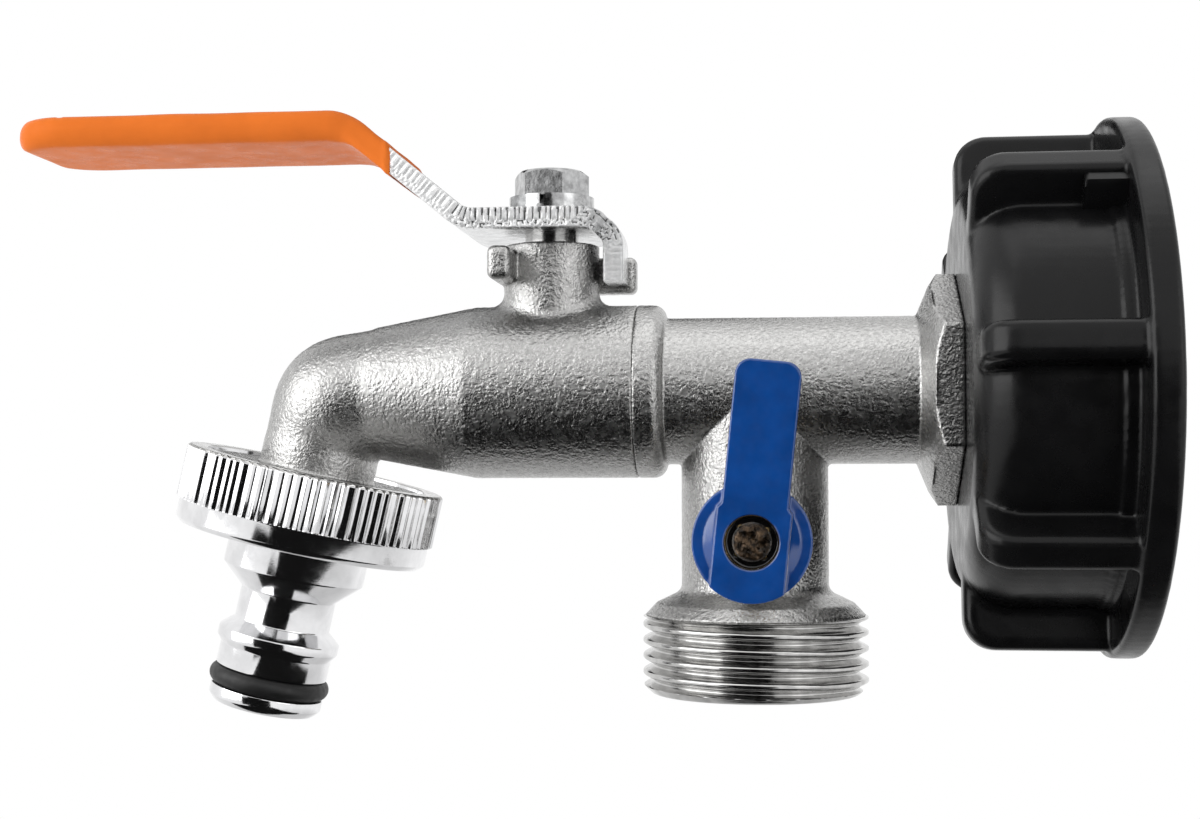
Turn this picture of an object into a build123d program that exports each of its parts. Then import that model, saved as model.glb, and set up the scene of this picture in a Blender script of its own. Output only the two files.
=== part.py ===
from build123d import *
import math
import os

# Tap set for a bulk liquid tank: a screw cap, a tee with a small ball valve in its
# branch, and a ball bibcock with a hose nipple. Sizes are in millimetres.
# X runs along the pipe towards the tank and Z is up. The origin is the centre of
# the cap's open mouth. Each list of pairs is a turned profile: place, then radius.

# Screw cap
cap_depth = 24.8
cap_wall = 2.1
cap_corner_radius = 7.0
cap_front_wall = 4.0
flange_reach = 6.7
flange_thickness = 4.3
flange_edge_radius = 0.8
flange_step_length = 1.9
flange_step_height = 0.5
tank_thread_radius = 30.2
tank_thread_length = 13.0
gasket_bore_step = 0.6
rib_count = 8
rib_reach = 5.7
rib_width = 5.4
rib_nose_radius = 4.6
rib_edge_radius = 1.4
rib_inset = 0.2
rib_phase = 83.0
cap_hub_radius = 17.0
gasket_thickness = 3.0
gasket_clearance = 0.3

# Pipe between the cap and the bibcock
pipe_radius = 10.9
pipe_bore_radius = 8.0
pipe_length = 36.8
collar_radius = 12.9
collar_length = 4.2
collar_edge_radius = 1.9
shoulder_length = 1.8
shoulder_radius = 15.2
hex_across_flats = 29.6
hex_length = 4.0
hex_chamfer_length = 1.2
inlet_thread_radius = 13.2
inlet_thread_length = 11.2
spigot_radius = 11.0
spigot_length = 6.2
thread_clearance = 0.05
end_chamfer = 0.8

# Branch and its threaded outlet
branch_offset = 23.8
branch_radius = 10.85
branch_straight_end = 29.6
outlet_thread_radius = 16.6
outlet_shoulder_drop = 3.9
outlet_thread_length = 11.1
flare_reach_share = 0.65
flare_drop_share = 0.45
branch_fillet = 1.6

# Branch valve
side_axis_drop = 21.8
side_ball_radius = 8.8
side_ball_port_radius = 5.0
side_port_radius = 5.5
side_chamber_radius = 9.2
side_seat_thickness = 3.3
side_retainer_length = 5.0
side_slot_width = 2.6
side_slot_depth = 2.2
side_stem_radius = 3.0
side_collar_radius = 3.6
side_collar_thickness = 1.2
side_boss_radius = 5.6
side_boss_reach = 14.4
side_square = 4.2
side_square_length = 3.2
side_o_ring_section = 1.5
side_screw_radius = 1.5
side_screw_depth = 4.6
side_screw_head_radius = 2.7
side_screw_head_height = 1.8
side_screw_edge_radius = 0.6
side_screw_tip_gap = 0.4
side_slot_cut_width = 0.8
side_slot_cut_length = 3.6
side_slot_cut_depth = 0.9
side_lever_lean = 6.0

# Blue branch lever
side_hub_radius = 8.4
side_hub_height = 6.0
side_hub_rim_height = 3.4
side_arm_width = 9.2
side_arm_length = 25.2
side_arm_thickness = 3.4
side_arm_corner = 2.2
side_tail_width = 10.4
side_tail_reach = 5.0
side_dish_share = 0.8
side_dish_rise = 0.2
side_dome_drop = 0.6
side_tail_chamfer_share = 0.95
side_recess_radius = 3.75
side_recess_depth = 3.0

# Bibcock body
barrel_radius = 12.9
barrel_length = 24.6
cone_length = 15.0
elbow_inner_radius = 0.6
elbow_turns = (0.0, 24.0, 38.0, 50.0, 62.0, 77.1)
elbow_radii = (10.1, 10.1, 10.1, 9.7, 9.1, 8.8)
waterway_radius = 6.4
spout_straight = 3.0
nose_thread_radius = 16.6
nose_thread_length = 7.0
nose_inset = 0.5
nose_chamfer = 1.2
joint_to_stem = 13.2
neck_radius = 7.2
neck_top = 22.0
neck_fillet = 2.0
lug_thickness = 3.4
lug_reach = 12.4
front_lug_bottom = 16.0
rear_lug_bottom = 15.3
lug_top = 20.9
lug_edge_radius = 1.0

# Bibcock ball, seats and stem
ball_radius = 9.6
ball_port_radius = 6.6
chamber_radius = 9.8
seat_thickness = 3.6
seat_clearance = 0.1
joint_seal_thickness = 1.0
slot_width = 3.4
slot_depth = 2.6
stem_radius = 4.0
stem_clearance = 0.05
stem_collar_radius = 4.9
stem_collar_thickness = 1.5
stem_pocket_clearance = 0.2
thrust_washer_thickness = 0.9
stem_flat_width = 6.0
o_ring_section = 1.6
o_ring_spacing = 2.9
o_ring_groove_share = 0.82
o_ring_corner_share = 0.29

# Steel lever and its fastening
lever_thickness = 3.0
lever_gap = 1.4
plate_half_width = 12.5
handle_half_width = 11.2
tab_half_width = 4.2
plate_corner = 4.5
shoulder_clearance = 0.2
tab_reach = 11.2
tab_end = 16.4
stop_clearance = 0.3
plate_to_bend = 11.7
incline_run = 17.6
incline_rise = 14.4
handle_length = 53.2
handle_corner = 9.0
lever_bend_radii = (3.2, 4.6, 9.0)
sleeve_wall = 0.8
sleeve_start = 22.3
washer_radius = 6.6
washer_thickness = 1.3
lock_washer_radius = 6.4
lock_washer_thickness = 1.6
lock_washer_gap = 0.8
lock_washer_turn = -95.0
bolt_radius = 2.5
bolt_hole_clearance = 0.15
bolt_across_flats = 10.0
bolt_head_height = 4.0
bolt_edge_drop = 0.9
bolt_edge_reach = 1.1
bolt_corner_slack = 0.1
bolt_turn = -6.4
bolt_depth = 5.8
bolt_tip_gap = 0.4

# Hose connector on the spout
nut_radius = 19.7
nut_knurl_height = 8.0
nut_band_height = 3.6
nut_band_radius = 19.1
nut_floor = 1.9
nut_edge_radius = 0.5
nose_washer_thickness = 1.7
nose_washer_inset = 1.0
nipple_bore_radius = 5.4
nipple_neck_radius = 10.7
nipple_neck_length = 4.6
nipple_neck_cone = 3.2
nipple_waist_radius = 7.25
nipple_waist_length = 4.7
nipple_collar_cone = 1.7
nipple_collar_radius = 9.2
nipple_collar_length = 1.4
nipple_land_cone = 1.0
nipple_land_radius = 8.45
nipple_land_length = 3.2
nipple_lip_radius = 8.55
nipple_lip_length = 2.5
nipple_lip_chamfer = 0.9
nipple_o_ring_section = 3.0
nipple_o_ring_radius = 9.1

# Places and sizes worked out from the sizes above
cap_body_radius = tank_thread_radius + cap_wall
gasket_bore_radius = tank_thread_radius - gasket_bore_step
flange_radius = cap_body_radius + flange_reach
rib_crest_radius = cap_body_radius + rib_reach
shoulder_x = -(cap_depth + hex_length + shoulder_length)
collar_x = shoulder_x - pipe_length
joint_x = collar_x - collar_length
branch_x = shoulder_x - branch_offset
stem_x = joint_x - joint_to_stem
cone_x = joint_x - barrel_length
elbow_x = cone_x - cone_length
elbow_pivot = Vector(elbow_x, 0, -elbow_radii[0] - elbow_inner_radius)
nipple_groove_top = nipple_neck_length + nipple_neck_cone + nipple_waist_length + nipple_collar_cone
nipple_groove_top += nipple_collar_length + nipple_land_cone + nipple_land_length
side_plane = Plane(origin=(branch_x, 0, -side_axis_drop), x_dir=(1, 0, 0), z_dir=(0, -1, 0))
stem_frame = Pos(stem_x, 0, 0)
branch_frame = Pos(branch_x, 0, 0)
outlet_thread_top = branch_straight_end + outlet_shoulder_drop
outlet_end = outlet_thread_top + outlet_thread_length
plate_bottom = neck_top + lever_gap
plate_top = plate_bottom + lever_thickness
nut_height = nut_knurl_height + nut_band_height
handle_z = plate_bottom + lever_thickness / 2 + incline_rise

far = 200.0
spindle_gap = 0.02
slack_edge = 0.01
overcut = 1.0


def turned_x(pairs):
    """A solid turned about X from (place along X, radius) pairs."""
    outline = Polyline(*[(x, r) for x, r in pairs], close=True)
    return revolve(make_face(outline), Axis.X, 360)


def turned_z(pairs):
    """A solid turned about Z from (radius, height) pairs."""
    outline = Polyline(*[(r, 0, z) for r, z in pairs], close=True)
    return revolve(make_face(outline), Axis.Z, 360)


def rod(radius, low, high):
    """A round bar along Z between two heights."""
    return Pos(0, 0, low) * Cylinder(radius, high - low, align=(Align.CENTER, Align.CENTER, Align.MIN))


def ring(outer, inner, low, high):
    """A flat ring along Z between two heights."""
    return rod(outer, low, high) - rod(inner, low, high)


def block(size_x, size_y, low, high):
    """A square bar along Z between two heights."""
    return Pos(0, 0, low) * Box(size_x, size_y, high - low, align=(Align.CENTER, Align.CENTER, Align.MIN))


def hexagon(across_flats, low, high, turn=0.0):
    """A hexagonal bar along Z between two heights."""
    outline = RegularPolygon(across_flats / 2, 6, major_radius=False, rotation=turn)
    return Pos(0, 0, low) * extrude(outline, high - low)


def along_x(shape):
    """Lays a shape made along Z down along X."""
    return Rot(0, 90, 0) * shape


def circles_at(shape, place, radius, axis=Axis.X, slack=0.02):
    """The circular edges of a shape at one place along an axis and of one radius."""
    found = shape.edges().filter_by(GeomType.CIRCLE)
    along = axis.direction
    return found.filter_by(
        lambda e: abs(e.arc_center.dot(along) - place) < slack and abs(e.radius - radius) < slack
    )


# Screw cap


def cap_rib():
    """One grip rib, standing up along Z, with a round nose and a round crest."""
    low = gasket_bore_radius - cap_corner_radius
    front, back = -cap_depth + rib_inset, -flange_thickness / 2
    side = FilletPolyline(
        (back, 0, low),
        (front, 0, low),
        (front, 0, rib_crest_radius),
        (back, 0, rib_crest_radius),
        radius=rib_nose_radius,
        close=False,
    )
    face = make_face(side + Line((back, 0, rib_crest_radius), (back, 0, low)))
    rib = extrude(face, rib_width / 2, dir=(0, 1, 0), both=True)
    crest = rib.edges().filter_by(lambda e: e.center().Z > cap_body_radius)
    crest = crest.filter_by(lambda e: e.center().X < back - slack_edge)
    crest = crest.filter_by(lambda e: abs(abs(e.center().Y) - rib_width / 2) < slack_edge)
    return fillet(crest, rib_edge_radius)


def make_tank_cap():
    """The black screw cap: a flanged cup with grip ribs and a threaded hub."""
    step_x = -flange_thickness - flange_step_length
    body = turned_x(
        [
            (-cap_depth, 0),
            (-cap_depth, cap_body_radius),
            (step_x, cap_body_radius),
            (step_x, cap_body_radius + flange_step_height),
            (-flange_thickness, cap_body_radius + flange_step_height),
            (-flange_thickness, flange_radius),
            (0, flange_radius),
            (0, 0),
        ]
    )
    body = fillet(circles_at(body, -cap_depth, cap_body_radius), cap_corner_radius)
    body = fillet(circles_at(body, 0, flange_radius), flange_edge_radius)
    body = fillet(circles_at(body, -flange_thickness, flange_radius), flange_edge_radius)
    for index in range(rib_count):
        body += Rot(rib_phase + index * 360.0 / rib_count, 0, 0) * cap_rib()
    floor_x = -cap_depth + cap_front_wall
    hub_x = -cap_depth + inlet_thread_length + thread_clearance
    cavity = turned_x(
        [
            (floor_x, cap_hub_radius),
            (floor_x, gasket_bore_radius),
            (-tank_thread_length, gasket_bore_radius),
            (-tank_thread_length, tank_thread_radius),
            (overcut, tank_thread_radius),
            (overcut, 0),
            (hub_x, 0),
            (hub_x, cap_hub_radius),
        ]
    )
    hole = along_x(rod(inlet_thread_radius + thread_clearance, -cap_depth - overcut, 0))
    return body - cavity - hole


def make_cap_gasket():
    """The flat seal that the tank's neck presses on."""
    floor_x = -cap_depth + cap_front_wall
    outer = gasket_bore_radius - gasket_clearance
    inner = cap_hub_radius + gasket_clearance
    return along_x(ring(outer, inner, floor_x, floor_x + gasket_thickness))


# Tee


def tee_outside():
    """The outer form of the tee before anything is bored."""
    hex_corner = hex_across_flats / math.sqrt(3)
    hex_x = -cap_depth - hex_length
    pipe = turned_x(
        [
            (joint_x - spigot_length, 0),
            (joint_x - spigot_length, spigot_radius - end_chamfer / 2),
            (joint_x - spigot_length + end_chamfer / 2, spigot_radius),
            (joint_x, spigot_radius),
            (joint_x, collar_radius),
            (collar_x, collar_radius),
            (collar_x, pipe_radius),
            (shoulder_x, pipe_radius),
            (hex_x, shoulder_radius),
            (hex_x, 0),
        ]
    )
    pipe = fillet(circles_at(pipe, collar_x, collar_radius), collar_edge_radius)
    envelope = turned_x(
        [
            (hex_x, 0),
            (hex_x, shoulder_radius),
            (hex_x + hex_chamfer_length, hex_corner),
            (-cap_depth, hex_corner + overcut),
            (-cap_depth, 0),
        ]
    )
    hex_bar = along_x(hexagon(hex_across_flats, hex_x, -cap_depth, turn=0.0)) & envelope
    inlet = turned_x(
        [
            (-cap_depth, 0),
            (-cap_depth, inlet_thread_radius),
            (-cap_depth + inlet_thread_length - end_chamfer, inlet_thread_radius),
            (-cap_depth + inlet_thread_length, inlet_thread_radius - end_chamfer),
            (-cap_depth + inlet_thread_length, 0),
        ]
    )
    return pipe + hex_bar + inlet


def branch_outside():
    """The branch tube with the flare and the plain form of its thread."""
    flare = outlet_thread_radius - branch_radius
    flare_z = -branch_straight_end - flare_drop_share * outlet_shoulder_drop
    branch = turned_z(
        [
            (0, 0),
            (branch_radius, 0),
            (branch_radius, -branch_straight_end),
            (branch_radius + flare_reach_share * flare, flare_z),
            (outlet_thread_radius, -outlet_thread_top),
            (outlet_thread_radius, -outlet_end + end_chamfer),
            (outlet_thread_radius - end_chamfer, -outlet_end),
            (0, -outlet_end),
        ]
    )
    edge = circles_at(branch, -branch_straight_end, branch_radius, Axis.Z)
    return branch_frame * fillet(edge, branch_fillet)


def make_tee_body():
    """The nickel-plated brass tee with both valve chambers bored."""
    boss = side_plane.location * rod(side_boss_radius, 0, side_boss_reach)
    tee = tee_outside() + branch_outside() + boss
    run = along_x(rod(pipe_bore_radius, joint_x - far, 0))
    seat_pocket = along_x(
        rod(chamber_radius, joint_x - spigot_length - overcut, stem_x + ball_radius + seat_clearance)
    )
    side_top = -side_axis_drop + side_ball_radius
    drop = branch_frame * rod(side_port_radius, side_top - overcut, 0)
    chamber = branch_frame * rod(side_chamber_radius, -far, side_top)
    stem_hole = side_plane.location * rod(side_stem_radius + stem_clearance, 0, far)
    pocket_depth = side_collar_base() + side_collar_thickness + stem_clearance
    pocket = side_plane.location * rod(side_collar_radius + stem_pocket_clearance, 0, pocket_depth)
    return tee - run - seat_pocket - drop - chamber - stem_hole - pocket


def side_collar_base():
    """How far from the ball's centre the branch stem's collar starts."""
    return side_ball_radius + 2 * stem_clearance


# Branch valve, built in a frame whose Z points out of the stem


def make_side_ball():
    """The small ball, with its port and the slot that the stem turns."""
    ball = Sphere(side_ball_radius)
    ball -= Rot(90, 0, 0) * rod(side_ball_port_radius, -far, far)
    base = side_ball_radius - side_slot_depth
    ball -= block(2 * side_ball_radius, side_slot_width, base, far)
    return side_plane.location * Rot(0, 0, -side_lever_lean) * ball


def side_seat(direction):
    """A seat ring above (1) or below (-1) the small ball."""
    near = side_ball_radius - side_seat_thickness
    outer = side_chamber_radius - seat_clearance
    seat = ring(outer, side_port_radius, near, side_ball_radius) - Sphere(side_ball_radius + spindle_gap)
    turn = 0 if direction > 0 else 180
    return branch_frame * Pos(0, 0, -side_axis_drop) * Rot(turn, 0, 0) * seat


def make_side_seat_retainer():
    """The threaded ring that holds the lower seat, with two key slots."""
    high = -side_axis_drop - side_ball_radius
    low = high - side_retainer_length
    outer = side_chamber_radius - thread_clearance
    retainer = ring(outer, side_port_radius, low, high)
    slots = block(far, side_slot_width, low, low + side_slot_depth)
    return branch_frame * (retainer - slots)


def make_side_stem():
    """The branch stem: tang, collar, ring groove and square end."""
    tang_base = side_ball_radius - side_slot_depth + spindle_gap
    collar_base = side_collar_base()
    square_base = side_boss_reach
    square_top = square_base + side_square_length
    tang_width = side_slot_width - 4 * spindle_gap
    stem = block(2 * side_collar_radius, tang_width, tang_base, collar_base)
    stem &= rod(side_collar_radius, tang_base, collar_base)
    stem += rod(side_collar_radius, collar_base, collar_base + side_collar_thickness)
    stem += rod(side_stem_radius, collar_base, square_base)
    stem += block(side_square, side_square, square_base, square_top)
    groove_low = side_o_ring_height() - side_o_ring_section / 2
    groove_inner = side_stem_radius - o_ring_groove_share * side_o_ring_section
    stem -= ring(far, groove_inner, groove_low - spindle_gap, groove_low + side_o_ring_section + spindle_gap)
    stem -= rod(side_screw_radius + thread_clearance, square_top - side_screw_depth, far)
    return side_plane.location * Rot(0, 0, -side_lever_lean) * stem


def side_o_ring_height():
    """Height of the branch stem's seal ring."""
    return side_boss_reach - 1.5 * side_o_ring_section


def make_side_stem_o_ring():
    """The seal ring in the branch stem's groove."""
    return side_plane.location * o_ring(
        side_stem_radius + stem_clearance, side_o_ring_section, side_o_ring_height(), side_stem_radius
    )


def o_ring(bore_radius, section, height, shaft_radius):
    """A seal ring squeezed between a groove floor and the bore round it."""
    floor = shaft_radius - o_ring_groove_share * section
    inner, outer = floor + spindle_gap, bore_radius - spindle_gap
    low, high = height - section / 2, height + section / 2
    solid = ring(outer, inner, low, high)
    return chamfer(solid.edges().filter_by(GeomType.CIRCLE), (outer - inner) * o_ring_corner_share)


def make_side_lever():
    """The blue lever: a round hub with a raised flat arm and a screw recess."""
    base = side_boss_reach + stop_clearance
    top = base + side_hub_height
    hub = rod(side_hub_radius, base, base + side_hub_rim_height)
    dome = turned_z(
        [
            (0, base + side_hub_rim_height),
            (side_hub_radius, base + side_hub_rim_height),
            (side_hub_radius * side_dish_share, base + side_hub_rim_height + side_dish_rise),
            (side_arm_width / 2, top - side_dome_drop),
            (0, top - side_dome_drop),
        ]
    )
    arm_low = top - side_arm_thickness
    half = side_tail_width / 2
    arm_outline = Pos(0, side_arm_length / 2) * RectangleRounded(
        side_arm_width, side_arm_length, side_arm_corner
    )
    arm = Pos(0, 0, arm_low) * extrude(arm_outline, side_arm_thickness)
    foot = math.sqrt(side_hub_radius**2 - half**2)
    length = foot + side_tail_reach
    strip = Pos(0, side_tail_reach - length / 2, 0) * block(side_tail_width, length, base, top)
    step = (half - side_arm_width / 2) * side_tail_chamfer_share
    strip = chamfer(strip.edges().filter_by(Axis.Z).group_by(Axis.Y)[-1], step)
    tail = rod(side_hub_radius, base, top) & strip
    lever = hub + dome + arm + tail
    lever -= rod(side_recess_radius, top - side_recess_depth, far)
    lever -= block(side_square + bolt_hole_clearance, side_square + bolt_hole_clearance, 0, far)
    return side_plane.location * Rot(0, 0, -side_lever_lean) * lever


def make_side_lever_screw():
    """The screw in the blue lever's recess, with a cross slot."""
    seat = side_boss_reach + stop_clearance + side_hub_height - side_recess_depth
    bottom = side_boss_reach + side_square_length - side_screw_depth + side_screw_tip_gap
    screw = rod(side_screw_radius, bottom, seat)
    top = seat + side_screw_head_height
    head = rod(side_screw_head_radius, seat, top)
    head = fillet(circles_at(head, top, side_screw_head_radius, Axis.Z), side_screw_edge_radius)
    slot = block(side_slot_cut_width, side_slot_cut_length, top - side_slot_cut_depth, far)
    slot += Rot(0, 0, 90) * slot
    return side_plane.location * Rot(0, 0, -side_lever_lean) * (screw + head - slot)


# Bibcock body


def elbow_plane(turn, radius):
    """The plane across the elbow after a turn, where the tube has one radius."""
    angle = math.radians(turn)
    outward = Vector(-math.sin(angle), 0, math.cos(angle))
    middle = elbow_pivot + outward * (radius + elbow_inner_radius)
    return Plane(origin=middle, x_dir=(0, 1, 0), z_dir=(-math.cos(angle), 0, -math.sin(angle)))


def spout_plane():
    """The plane across the nose's shoulder, whose Z points out of the spout."""
    return elbow_plane(elbow_turns[-1], elbow_radii[-1]).offset(spout_straight)


def spout_elbow(bore=None):
    """The tapering elbow, or its waterway when a bore radius is given."""
    sections = zip(elbow_turns, elbow_radii)
    faces = [elbow_plane(turn, radius) * Circle(bore or radius) for turn, radius in sections]
    return loft(faces)


def stop_lug(bottom):
    """One lug that stops the lever's tab, running out along +X, with its edges rounded."""
    near = tab_half_width + stop_clearance
    length = lug_reach
    lug = Pos(length / 2, near + lug_thickness / 2, 0) * block(length, lug_thickness, bottom, lug_top)
    outer = lug.edges().filter_by(lambda e: e.center().X > slack_edge)
    return fillet(outer, lug_edge_radius)


def body_outside():
    """The outer form of the bibcock's casting."""
    barrel = turned_x(
        [
            (elbow_x, 0),
            (elbow_x, elbow_radii[0]),
            (cone_x, barrel_radius),
            (joint_x, barrel_radius),
            (joint_x, 0),
        ]
    )
    nose_end = nose_inset + nose_thread_length
    nose = rod(nose_thread_radius, nose_inset, nose_end)
    nose = chamfer(circles_at(nose, nose_inset, nose_thread_radius, Axis.Z), nose_chamfer)
    spout = rod(elbow_radii[-1], -spout_straight, nose_inset) + nose
    neck = stem_frame * rod(neck_radius, 0, neck_top)
    body = barrel + neck
    root = body.edges().filter_by(lambda e: e.geom_type not in (GeomType.CIRCLE, GeomType.LINE))
    body = fillet(root, neck_fillet)
    body += spout_elbow() + spout_plane().location * spout
    body += stem_frame * stop_lug(rear_lug_bottom)
    body += stem_frame * Rot(0, 0, -90) * mirror(stop_lug(front_lug_bottom), Plane.XZ)
    return body


def make_main_body():
    """The bibcock's casting with its chamber, waterway and stem hole."""
    body = body_outside()
    seal_x = joint_x - spigot_length - joint_seal_thickness
    thread = along_x(rod(spigot_radius + thread_clearance, seal_x, 0))
    front = stem_x - ball_radius - seat_clearance
    chamber = along_x(rod(chamber_radius, front, 0))
    way = along_x(rod(waterway_radius, elbow_x, 0)) + spout_elbow(waterway_radius)
    way += spout_plane().location * rod(waterway_radius, -spout_straight, far)
    stem_hole = stem_frame * rod(stem_radius + stem_clearance, 0, far)
    pocket_top = stem_collar_base() + stem_collar_thickness + thrust_washer_thickness + stem_clearance
    pocket = stem_frame * rod(stem_collar_radius + stem_pocket_clearance, 0, pocket_top)
    return body - thread - chamber - way - stem_hole - pocket


def stem_collar_base():
    """Height of the underside of the stem's collar."""
    return ball_radius + stem_clearance


# Bibcock ball, seats and stem


def make_main_ball():
    """The ball, with its port along X and the slot that the stem turns."""
    ball = Sphere(ball_radius)
    ball -= along_x(rod(ball_port_radius, -far, far))
    ball -= block(2 * ball_radius, slot_width, ball_radius - slot_depth, far)
    return stem_frame * ball


def main_seat(direction):
    """A seat ring on the tank side (1) or the spout side (-1) of the ball."""
    near = ball_radius - seat_thickness
    outer = chamber_radius - seat_clearance
    seat = ring(outer, ball_port_radius, near, ball_radius) - Sphere(ball_radius + spindle_gap)
    turn = 90 if direction > 0 else -90
    return stem_frame * Rot(0, turn, 0) * seat


def make_joint_seal():
    """The thin ring that seals the tee's spigot against the bibcock's body."""
    end = joint_x - spigot_length
    return along_x(ring(spigot_radius, chamber_radius, end - joint_seal_thickness + spindle_gap, end))


def stem_ring_heights():
    """Heights of the two seal rings on the stem."""
    top = neck_top - 1.5 * o_ring_section
    return (top, top - o_ring_spacing)


def make_main_stem():
    """The stem: tang, collar, ring grooves, flats for the lever and a tapped hole."""
    base = stem_collar_base()
    tang_base = ball_radius - slot_depth + spindle_gap
    tang = block(2 * stem_collar_radius, slot_width - 4 * spindle_gap, tang_base, base)
    stem = tang & rod(stem_collar_radius, tang_base, base)
    stem += rod(stem_collar_radius, base, base + stem_collar_thickness)
    stem += rod(stem_radius, base, plate_bottom)
    flats = block(stem_flat_width, 2 * stem_radius, plate_bottom, plate_top - spindle_gap)
    stem += flats & rod(stem_radius, plate_bottom, plate_top)
    floor = stem_radius - o_ring_groove_share * o_ring_section
    half = o_ring_section / 2 + spindle_gap
    for height in stem_ring_heights():
        stem -= ring(far, floor, height - half, height + half)
    stem -= rod(bolt_radius + thread_clearance, plate_top - bolt_depth, far)
    return stem_frame * stem


def make_main_stem_o_rings():
    """The two seal rings on the stem."""
    bore = stem_radius + stem_clearance
    rings = [stem_frame * o_ring(bore, o_ring_section, h, stem_radius) for h in stem_ring_heights()]
    return Compound(rings)


def make_thrust_washer():
    """The slippery washer between the stem's collar and the neck."""
    low = stem_collar_base() + stem_collar_thickness
    outer = stem_collar_radius
    inner = stem_radius + stem_clearance
    return stem_frame * ring(outer, inner, low, low + thrust_washer_thickness)


# Steel lever and its fastening


def lever_line(thickness):
    """The lever's side view as a band of one thickness, across the whole width."""
    middle = plate_bottom + lever_thickness / 2
    lowered_x = tab_reach - lever_thickness / 2
    top_x = -plate_to_bend - incline_run
    points = [
        (lowered_x, 0, tab_end),
        (lowered_x, 0, middle),
        (-plate_to_bend, 0, middle),
        (top_x, 0, handle_z),
        (top_x - handle_length, 0, handle_z),
    ]
    path = FilletPolyline(*points, radius=lever_bend_radii)
    across = Plane(origin=path @ 0, z_dir=path % 0, x_dir=(0, 1, 0))
    return sweep(across * Rectangle(4 * plate_half_width, thickness), path=path)


def lever_plan(grow):
    """The lever seen from above, as a tall block, grown outwards by an amount."""
    plate, handle = plate_half_width + grow, handle_half_width + grow
    tab = tab_half_width + grow
    shoulder_x = tab_reach - lever_thickness - shoulder_clearance
    top_x = -plate_to_bend - incline_run
    end_x = top_x - handle_length - grow
    near_side = [(tab_reach + overcut, tab), (shoulder_x, tab), (shoulder_x, plate), (-plate_to_bend, plate)]
    near_side += [(top_x, handle), (end_x, handle)]
    far_side = [(x, -y) for x, y in reversed(near_side)]
    face = make_face(Polyline(*near_side, *far_side, close=True))
    tips = face.vertices().filter_by(lambda v: abs(v.X - end_x) < slack_edge)
    face = fillet(tips, handle_corner + grow)
    shoulders = face.vertices().filter_by(lambda v: abs(v.X - shoulder_x) < slack_edge)
    shoulders = shoulders.filter_by(lambda v: abs(v.Y) > plate - slack_edge)
    return extrude(fillet(shoulders, plate_corner), far)


def lever_solid(grow):
    """The bent strip, or the same strip grown by a wall for the sleeve on it."""
    return lever_line(lever_thickness + 2 * grow) & lever_plan(grow)


def make_main_lever():
    """The zinc-plated steel lever with its tab and its hole for the stem's flats."""
    lever = lever_solid(0.0)
    hole = block(stem_flat_width, 2 * stem_radius, plate_bottom - overcut, plate_top + overcut)
    hole &= rod(stem_radius, plate_bottom - overcut, plate_top + overcut)
    return stem_frame * (lever - hole)


def make_main_lever_sleeve():
    """The orange dipped sleeve over the handle."""
    covered = Pos(-sleeve_start - far / 2, 0, handle_z) * Box(far, far, far)
    return stem_frame * ((lever_solid(sleeve_wall) & covered) - lever_solid(0.0))


def make_lever_washer():
    """The flat washer on the lever."""
    inner = bolt_radius + bolt_hole_clearance
    return stem_frame * ring(washer_radius, inner, plate_top, plate_top + washer_thickness)


def make_lever_lock_washer():
    """The split spring washer, cut through on its near side."""
    low = plate_top + washer_thickness
    inner = bolt_radius + bolt_hole_clearance
    high = low + lock_washer_thickness
    washer = ring(lock_washer_radius, inner, low, high)
    gap = Rot(0, 0, lock_washer_turn) * Pos(lock_washer_radius, 0, 0)
    gap *= block(2 * lock_washer_radius, lock_washer_gap, low - overcut, high + overcut)
    return stem_frame * (washer - gap)


def make_lever_bolt():
    """The hexagon bolt that holds the lever on the stem."""
    seat = plate_top + washer_thickness + lock_washer_thickness
    top = seat + bolt_head_height
    corner = bolt_across_flats / math.sqrt(3)
    dome = turned_z(
        [
            (0, seat),
            (corner + bolt_corner_slack, seat),
            (corner + bolt_corner_slack, top - bolt_edge_drop),
            (corner - bolt_edge_reach, top),
            (0, top),
        ]
    )
    head = hexagon(bolt_across_flats, seat, top, turn=bolt_turn) & dome
    shank = rod(bolt_radius, plate_top - bolt_depth + bolt_tip_gap, seat)
    return stem_frame * (head + shank)


# Hose connector, built in a frame whose Z points out of the spout


def make_tap_connector():
    """The knurled nut and the stepped nipple, turned from one bar."""
    inner = nose_thread_radius + thread_clearance
    floor = nut_height - nut_floor
    outside = turned_z(nipple_outline())
    nut = outside + rod(nut_band_radius, 0.0, nut_height)
    knurled = rod(nut_radius, 0.0, nut_knurl_height)
    knurled = fillet(circles_at(knurled, 0.0, nut_radius, Axis.Z), nut_edge_radius)
    nut += knurled
    nut = nut - rod(inner, -overcut, floor) - rod(nipple_bore_radius, 0, far)
    return spout_plane().location * nut


def nipple_outline():
    """Radius and height pairs down the outside of the nipple."""
    groove_floor = nipple_o_ring_radius - nipple_o_ring_section
    steps = [
        (nipple_neck_radius, nipple_neck_length),
        (nipple_waist_radius, nipple_neck_cone),
        (nipple_waist_radius, nipple_waist_length),
        (nipple_collar_radius, nipple_collar_cone),
        (nipple_collar_radius, nipple_collar_length),
        (nipple_land_radius, nipple_land_cone),
        (nipple_land_radius, nipple_land_length),
        (groove_floor, 0),
        (groove_floor, nipple_o_ring_section + 2 * spindle_gap),
        (nipple_lip_radius, 0),
        (nipple_lip_radius, nipple_lip_length - nipple_lip_chamfer),
        (nipple_lip_radius - nipple_lip_chamfer, nipple_lip_chamfer),
        (0, 0),
    ]
    z = nut_height
    pairs = [(0, z - overcut), (nipple_neck_radius, z - overcut)]
    for radius, length in steps:
        z += length
        pairs.append((radius, z))
    return pairs


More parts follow.
